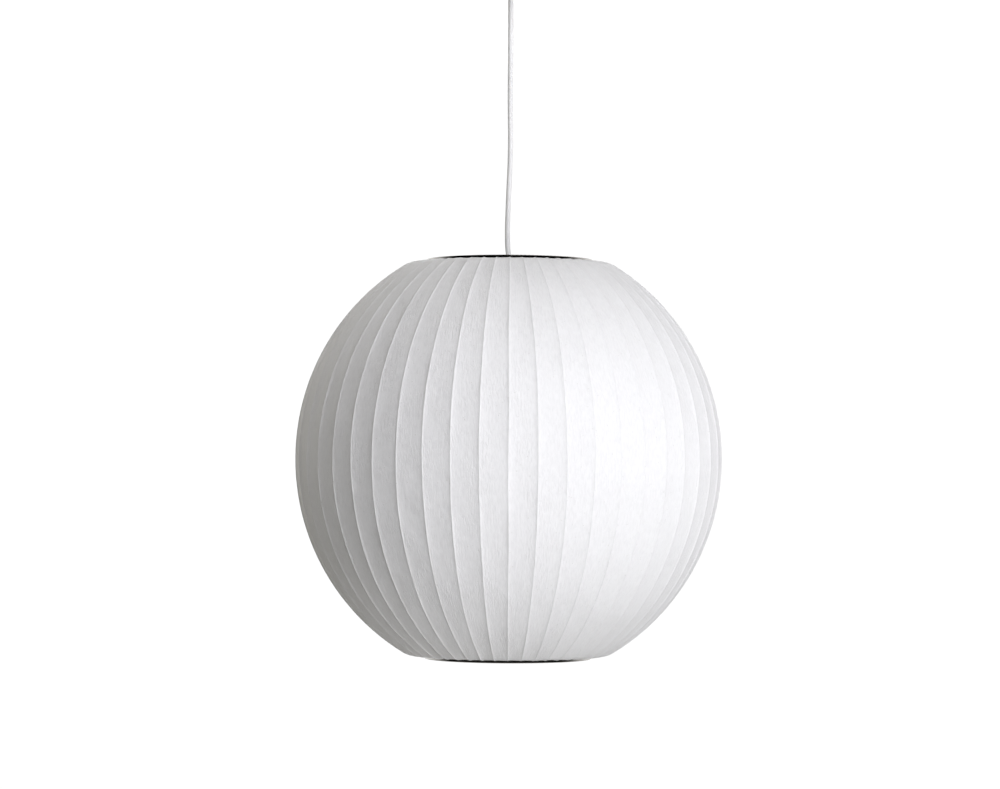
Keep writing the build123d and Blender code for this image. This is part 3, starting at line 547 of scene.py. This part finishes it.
@dataclass
class ShadeFilm:
    """The film over the cage: one hollow gore between each pair of wires, pulled in as it dried."""

    wire_count: int = 48
    shoulder_radius: float = 76.4 * MM
    shoulder_round: float = 16.0 * MM
    thickness: float = 0.5 * MM
    hollow_share: float = 0.024
    hollow_power: float = 3.6
    hollow_spread: float = 0.25
    hollow_change: float = 0.5
    ridge_softness: float = 0.018
    slow_turns: tuple[float, float] = (0.8, 5.0)
    wander: float = 0.40 * MM
    kink: float = 0.16 * MM
    kink_turns: tuple[float, float] = (9.0, 24.0)
    pucker: float = 0.22 * MM
    pucker_turns: tuple[float, float] = (3.0, 14.0)
    lap_height: float = 0.35 * MM
    lap_width: float = 1.2 * MM
    ring_gap: float = 0.05 * MM
    edge_taper: float = 5.0 * MM
    side_steps: int = 50
    shoulder_steps: int = 9
    flat_steps: int = 3
    lap_steps: int = 3
    seed: int = 48
    bead: float = 0.2 * MM
    bead_spread: float = 0.45 * MM
    across: tuple[float, ...] = (
        0.0, 0.012, 0.03, 0.06, 0.14, 0.3, 0.5, 0.7, 0.86, 0.94, 0.97, 0.988,
    )
    centre: Vector = field(init=False)
    equator: float = field(init=False)
    top: float = field(init=False)
    ring: float = field(init=False)

    def __post_init__(self) -> None:
        """Read the shade's size and place from the frame."""
        low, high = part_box("shade_film")
        self.centre = (low + high) / 2
        self.equator = (high.x - low.x) / 2
        self.top = (high.z - low.z) / 2
        ring_low, ring_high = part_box("top_ring")
        self.ring = (ring_high.x - ring_low.x) / 2 + self.ring_gap

    def upper_half(self) -> np.ndarray:
        """Meridian from the ring out to the equator.

        Returns:
            Rows of radius and height above the lantern's middle.
        """
        reach = self.shoulder_radius**2 + self.top**2 - self.equator**2
        side_centre = -reach / (2 * (self.equator - self.shoulder_radius))
        side_radius = self.equator - side_centre
        round_height = self.top - self.shoulder_round
        round_centre = side_centre + math.sqrt((side_radius - self.shoulder_round) ** 2 - round_height**2)
        turn = math.atan2(round_height, round_centre - side_centre)
        lap_angles = np.linspace(0, math.pi / 2, self.lap_steps, endpoint=False)
        lap = np.column_stack(
            (
                self.ring + self.lap_width * (1 - np.cos(lap_angles)),
                self.top + self.lap_height * (1 - np.sin(lap_angles)),
            )
        )
        flat_radii = np.linspace(
            self.ring + self.lap_width, round_centre, self.flat_steps, endpoint=False
        )
        flat = np.column_stack((flat_radii, np.full(self.flat_steps, self.top)))
        corner = np.linspace(math.pi / 2, turn, self.shoulder_steps, endpoint=False)
        shoulder = np.column_stack(
            (
                round_centre + self.shoulder_round * np.cos(corner),
                round_height + self.shoulder_round * np.sin(corner),
            )
        )
        sweep = np.linspace(turn, 0, self.side_steps // 2 + 1)
        side = np.column_stack((side_centre + side_radius * np.cos(sweep), side_radius * np.sin(sweep)))
        return np.vstack((lap, flat, shoulder, side))

    def noise(
        self, rng: np.random.Generator, along: np.ndarray, waves: int, turns: tuple[float, float]
    ) -> np.ndarray:
        """Smooth random wave for each gore.

        Args:
            rng: Seeded source.
            along: Distance down the meridian, from 0 to 1.
            waves: How many waves are added up.
            turns: Fewest and most turns of a wave from end to end.

        Returns:
            One row for each point of the meridian and one column for each gore, about -1 to 1.
        """
        total = np.zeros((len(along), self.wire_count))
        for _ in range(waves):
            each = rng.uniform(*turns, self.wire_count)
            phase = rng.uniform(0, 2 * math.pi, self.wire_count)
            total += np.sin(2 * math.pi * np.outer(along, each) + phase)
        return total / waves

    def grid(self) -> tuple[np.ndarray, np.ndarray, np.ndarray]:
        """Points of the outer face.

        Returns:
            The points as rows by columns by three, the outward normals of the plain turned shape, and the
            distances round and down the film.
        """
        upper = self.upper_half()
        meridian = np.vstack((upper, (upper * (1, -1))[-2::-1]))
        slope = np.gradient(meridian, axis=0)
        slope /= np.linalg.norm(slope, axis=1)[:, None]
        normal_out, normal_up = -slope[:, 1], slope[:, 0]
        steps = np.linalg.norm(np.diff(meridian, axis=0), axis=1)
        down = np.concatenate(([0.0], np.cumsum(steps)))
        along = down / down[-1]
        rng = np.random.default_rng(self.seed)
        share = self.hollow_share * (1 + self.hollow_spread * rng.uniform(-1, 1, self.wire_count))
        uneven = 1 + self.hollow_change * self.noise(rng, along, 4, self.slow_turns)
        wander = self.wander * self.noise(rng, along, 3, self.slow_turns)
        wander += self.kink * self.noise(rng, along, 4, self.kink_turns)
        pucker = [self.pucker * self.noise(rng, along, 4, self.pucker_turns) for _ in range(2)]
        gore = 2 * math.pi / self.wire_count
        radius, height = meridian[:, 0], meridian[:, 1]
        width = 2 * radius * math.sin(gore / 2)
        from_edge = np.minimum(down, down[-1] - down)
        held = np.clip(from_edge / self.edge_taper, 0, 1) ** 2
        ridge = np.arange(self.wire_count) * gore
        start = ridge + wander / self.equator * held[:, None]
        end = np.roll(start, -1, axis=1)
        end[:, -1] += 2 * math.pi
        columns = []
        distances = []
        for fraction in self.across:
            near = 2 * min(fraction, 1 - fraction)
            open_depth = 1 - (1 - near) ** self.hollow_power
            depth_share = math.hypot(open_depth, self.ridge_softness) - self.ridge_softness
            swell = math.sin(math.pi * fraction) * pucker[0]
            swell = swell + math.sin(2 * math.pi * fraction) * pucker[1]
            wrap = self.bead * np.exp(-((near / 2 * width / self.bead_spread) ** 2))
            hollow = depth_share * share * uneven * width[:, None]
            depth = (hollow + swell - wrap[:, None]) * held[:, None]
            chord_x = radius[:, None] * ((1 - fraction) * np.cos(start) + fraction * np.cos(end))
            chord_y = radius[:, None] * ((1 - fraction) * np.sin(start) + fraction * np.sin(end))
            mid = (1 - fraction) * start + fraction * end
            columns.append(
                np.stack(
                    (
                        chord_x - depth * normal_out[:, None] * np.cos(mid),
                        chord_y - depth * normal_out[:, None] * np.sin(mid),
                        height[:, None] - depth * normal_up[:, None],
                    ),
                    axis=-1,
                )
            )
            distances.append((ridge + fraction * gore) * self.equator)
        points = np.stack(columns, axis=2).reshape(len(radius), -1, 3)
        around = np.stack(distances, axis=1).reshape(-1)
        angles = around / self.equator
        normals = np.stack(
            (
                np.outer(normal_out, np.cos(angles)),
                np.outer(normal_out, np.sin(angles)),
                np.outer(normal_up, np.ones_like(angles)),
            ),
            axis=-1,
        )
        return points, normals, np.stack(np.meshgrid(around, down), axis=-1)

    def build(self) -> bpy.types.Object:
        """Make the film as a closed shell.

        Returns:
            The film.
        """
        outer, normals, flat_map = self.grid()
        rows, columns = outer.shape[:2]
        inner = outer - normals * self.thickness
        points = np.concatenate((outer.reshape(-1, 3), inner.reshape(-1, 3))) + np.array(self.centre)
        row, column = np.meshgrid(np.arange(rows - 1), np.arange(columns), indexing="ij")
        following = (column + 1) % columns
        here, beside = row * columns + column, row * columns + following
        below, across = here + columns, beside + columns
        outside = np.stack((here, below, across, beside), axis=-1).reshape(-1, 4)
        count = rows * columns
        inside = outside[:, ::-1] + count
        edge = np.arange(columns)
        ahead = (edge + 1) % columns
        last = (rows - 1) * columns
        upper_rim = np.stack((edge, ahead, ahead + count, edge + count), axis=-1)
        lower_rim = np.stack(
            (last + ahead, last + edge, last + edge + count, last + ahead + count), axis=-1
        )
        faces = np.concatenate((outside, inside, upper_rim, lower_rim))
        piece = place_mesh("shade_web", points, faces, FILM)
        piece.data.set_sharp_from_angle(angle=FILM_CREASE)
        layer = piece.data.uv_layers.new(name="film")
        corner_point = np.zeros(len(piece.data.loops), np.int32)
        piece.data.loops.foreach_get("vertex_index", corner_point)
        spread = flat_map.reshape(-1, 2)[corner_point % count]
        seam = spread[:, 0].reshape(-1, 4)
        wrapped = (seam.max(axis=1) - seam.min(axis=1) > math.pi * self.equator)[:, None] & (
            seam < math.pi * self.equator
        )
        spread[:, 0] += wrapped.reshape(-1) * 2 * math.pi * self.equator
        layer.data.foreach_set("uv", spread.astype(np.float32).ravel())
        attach(piece, "lantern")
        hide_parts("shade_film")
        return piece


@dataclass
class Metalwork:
    """The cage, its rings and the spider that hangs them."""

    rings: tuple[str, ...] = ("top_ring", "bottom_ring")
    spider: tuple[str, ...] = (
        "spider_hub", "spider_arm_1", "spider_arm_2", "spider_arm_3", "hub_rivets", "ring_screws",
        "ring_nuts", "threaded_nipple", "upper_locknut", "lower_locknut", "cord_grip_screw",
        "cap_lock_screw",
    )

    def build(self) -> None:
        """Dress the metal pieces."""
        dress(self.rings, RING_NICKEL)
        dress(("cage_wires",), DRAWN_WIRE)
        dress(self.spider, ZINC_STEEL)


@dataclass
class CeilingCup:
    """The cup, its bracket, the gland and the wiring in it."""

    def build(self) -> None:
        """Dress the pieces at the ceiling."""
        dress(("canopy_cover",), POWDER_COAT)
        dress(("ceiling_bracket", "canopy_side_screws", "gland_locknut", "cord_stop_screw", "block_screw",
               "terminal_screws"), ZINC_STEEL)
        dress(("cord_gland", "cord_stop"), NYLON)
        dress(("gland_bush",), SILICONE)
        dress(("terminal_block",), UREA_RESIN)
        dress(("terminal_tubes",), BRASS)
        dress(("cord_tail",), PVC_SHEATH)
        dress(("canopy_lead_live",), BROWN_PVC)
        dress(("canopy_lead_neutral",), BLUE_PVC)


@dataclass
class Lampholder:
    """The holder under the spider, with the bulb in it."""

    def build(self) -> None:
        """Dress the holder and the bulb."""
        dress(("cord_grip",), NYLON)
        dress(("holder_cap", "holder_body"), UREA_RESIN)
        dress(("contact_carrier",), STEATITE)
        dress(("threaded_shell", "holder_contact", "bulb_contact"), BRASS)
        dress(("holder_lead_live",), BROWN_PVC)
        dress(("holder_lead_neutral",), BLUE_PVC)
        dress(("bulb_insulator",), BLACK_GLASS)
        dress(("bulb_screw_cap",), CAP_NICKEL)
        dress(("bulb_collar",), HOUSING)
        dress(("led_plate",), ALUMINIUM)
        dress(("driver_board",), LAMINATE)
        dress(("bulb_globe",), OPAL)


@dataclass(frozen=True)
class SoftBox:
    """A square soft light that faces the lantern, placed by its bearing from the lantern.

    The bearing is 0 at the camera and grows to the lantern's right; the elevation is above level.
    """

    name: str
    bearing: float
    elevation: float
    watts: float
    colour: str = "#F9F9FF"
    reach: float = 2.4
    side: float = 1.8

    def build(self, aim: Vector) -> None:
        """Put the light in the scene.

        Args:
            aim: The point that it faces.
        """
        data = bpy.data.lights.new(self.name, "AREA")
        data.shape = "SQUARE"
        data.size = self.side
        data.energy = self.watts
        data.color = linear(self.colour)[:3]
        lamp = bpy.data.objects.new(self.name, data)
        lamp.visible_glossy = False
        bearing, elevation = math.radians(self.bearing), math.radians(self.elevation)
        level = math.cos(elevation)
        away = Vector((level * math.sin(bearing), -level * math.cos(bearing), math.sin(elevation)))
        lamp.location = aim + away * self.reach
        lamp.rotation_mode = "QUATERNION"
        lamp.rotation_quaternion = away.to_track_quat("Z", "Y")
        bpy.context.scene.collection.objects.link(lamp)


@dataclass(frozen=True)
class StageFloor(Finish):
    """Painted floor that the camera sees evenly lit, as in a large room, with no more light sent up."""

    glow: float = 0.6

    def shader(self, tree: bpy.types.NodeTree) -> bpy.types.NodeSocket:
        """Lay out the paint and its even brightness.

        Args:
            tree: The material's empty tree.

        Returns:
            The socket of the surface shader.
        """
        paint = super().shader(tree)
        even = add_node(
            tree, "ShaderNodeEmission", {"Color": linear(self.colour), "Strength": self.glow}
        ).outputs["Emission"]
        lit = add_node(tree, "ShaderNodeAddShader", links={0: paint, 1: even}).outputs["Shader"]
        seen = add_node(tree, "ShaderNodeLightPath").outputs["Is Camera Ray"]
        return add_node(tree, "ShaderNodeMixShader", links={0: seen, 1: paint, 2: lit}).outputs["Shader"]


@dataclass
class Studio:
    """The pale floor, the soft light and the camera."""

    aim: Vector
    distance: float = 2.44
    lens_mm: float = 115.2
    sensor_mm: float = 36.0
    rise_degrees: float = 1.15
    roll_degrees: float = 0.26
    sideways_degrees: float = 0.16
    floor_drop: float = 3.6
    floor_radius: float = 27.0
    floor_inner_share: float = 0.5
    floor_sides: int = 96
    boxes: tuple[SoftBox, ...] = (
        SoftBox("key_light", 17, 24, 48.5),
        SoftBox("low_light", 33, -25, 27.5),
        SoftBox("right_light", 56, 6, 16.0),
        SoftBox("side_light", 112, -5, 14.0),
        SoftBox("left_light", -120, 60, 6.0, "#FFFBF2"),
        SoftBox("rim_light", -138, 8, 22.0, "#FFFBF2"),
        SoftBox("back_light", 180, 20, 46.0),
    )
    backdrop: str = "#FFFFFF"
    backdrop_level: float = 1.05
    surround: str = "#FFFBF4"
    surround_level: float = 0.25
    surround_foot: float = -0.2
    mirrored_full: float = 0.8
    floor_colour: str = "#EFEFEC"

    def camera(self) -> None:
        """Set the camera level with the lantern's middle, tilted up a little."""
        data = bpy.data.cameras.new("studio_camera")
        data.lens = self.lens_mm
        data.sensor_width = self.sensor_mm
        data.clip_end = 100.0
        camera = bpy.data.objects.new("studio_camera", data)
        camera.location = self.aim + Vector((0, -self.distance, 0))
        turn = Euler(
            (math.radians(90 + self.rise_degrees), 0, math.radians(self.sideways_degrees)), "XYZ"
        ).to_quaternion()
        roll = Euler((0, 0, math.radians(self.roll_degrees)), "XYZ").to_quaternion()
        camera.rotation_mode = "QUATERNION"
        camera.rotation_quaternion = turn @ roll
        bpy.context.scene.collection.objects.link(camera)
        bpy.context.scene.camera = camera

    def world(self) -> None:
        """Set the white surround.

        It lights the lantern from above, as a pale ceiling does, and stays plain white to the camera.
        Polished metal mirrors it dark in front and pale behind, as in a room lit from the back.
        """
        world = bpy.data.worlds.new("white_surround")
        bpy.context.scene.world = world
        world.use_nodes = True
        tree = world.node_tree
        tree.nodes.clear()
        towards = add_node(tree, "ShaderNodeTexCoord").outputs["Generated"]
        sides = add_node(tree, "ShaderNodeSeparateXYZ", links={0: towards})
        level = add_node(
            tree,
            "ShaderNodeMapRange",
            {
                "interpolation_type": "SMOOTHSTEP",
                "From Min": self.surround_foot,
                "From Max": 1.0,
                "To Min": 0.0,
                "To Max": self.surround_level,
            },
            {"Value": sides.outputs["Z"]},
        ).outputs["Result"]
        lighting = add_node(
            tree, "ShaderNodeBackground", {"Color": linear(self.surround)}, {"Strength": level}
        ).outputs["Background"]
        backdrop = add_node(
            tree,
            "ShaderNodeBackground",
            {"Color": linear(self.backdrop), "Strength": self.backdrop_level},
        ).outputs["Background"]
        behind = add_node(
            tree,
            "ShaderNodeMapRange",
            {"From Min": 0.0, "From Max": self.mirrored_full, "To Min": 0.0, "To Max": 1.0},
            {"Value": sides.outputs["Y"]},
        ).outputs["Result"]
        mirrored = add_node(
            tree, "ShaderNodeBackground", {"Color": linear(self.backdrop)}, {"Strength": behind}
        ).outputs["Background"]
        path = add_node(tree, "ShaderNodeLightPath").outputs
        lit = add_node(
            tree, "ShaderNodeMixShader", links={0: path["Is Glossy Ray"], 1: lighting, 2: mirrored}
        ).outputs["Shader"]
        mixed = add_node(
            tree, "ShaderNodeMixShader", links={0: path["Is Camera Ray"], 1: lit, 2: backdrop}
        ).outputs["Shader"]
        add_node(tree, "ShaderNodeOutputWorld", links={"Surface": mixed})

    def floor(self) -> None:
        """Lay a round pale floor well below the lantern."""
        sides = self.floor_sides
        angles = np.linspace(0, 2 * math.pi, sides, endpoint=False)
        rim = np.column_stack((np.cos(angles), np.sin(angles), np.zeros(sides))) * self.floor_radius
        points = np.concatenate((rim * self.floor_inner_share, rim)) - np.array((0, 0, self.floor_drop))
        ring = np.arange(sides)
        ahead = (ring + 1) % sides
        faces = np.stack((ring, ring + sides, ahead + sides, ahead), axis=-1).tolist()
        mesh = bpy.data.meshes.new("studio_floor")
        mesh.from_pydata(points.tolist(), [], faces + [list(range(sides))])
        mesh.materials.append(
            StageFloor(
                "painted_floor", self.floor_colour, roughness=0.7, ior=1.5, grain_mm=40.0, relief_mm=0.2,
                tone_spread=0.01, bloom_mm=900.0,
            ).build()
        )
        floor = bpy.data.objects.new("studio_floor", mesh)
        bpy.context.scene.collection.objects.link(floor)

    def build(self) -> None:
        """Set up the studio."""
        bpy.context.scene.view_settings.view_transform = "Standard"
        self.camera()
        for box in self.boxes:
            box.build(self.aim)
        self.world()
        self.floor()


def main() -> None:
    """Build the looks piece by piece."""
    logging.basicConfig(level=logging.INFO, format="%(name)s: %(message)s")
    shade = ShadeFilm()
    Studio(aim=shade.centre.copy()).build()
    log.info("cord: %s", HungCord().build().name)
    film = shade.build()
    log.info("shade: %s, %d faces", film.name, len(film.data.polygons))
    for part in (Metalwork(), CeilingCup(), Lampholder()):
        part.build()
        log.info("dressed: %s", type(part).__name__)


if __name__ == "__main__":
    main()
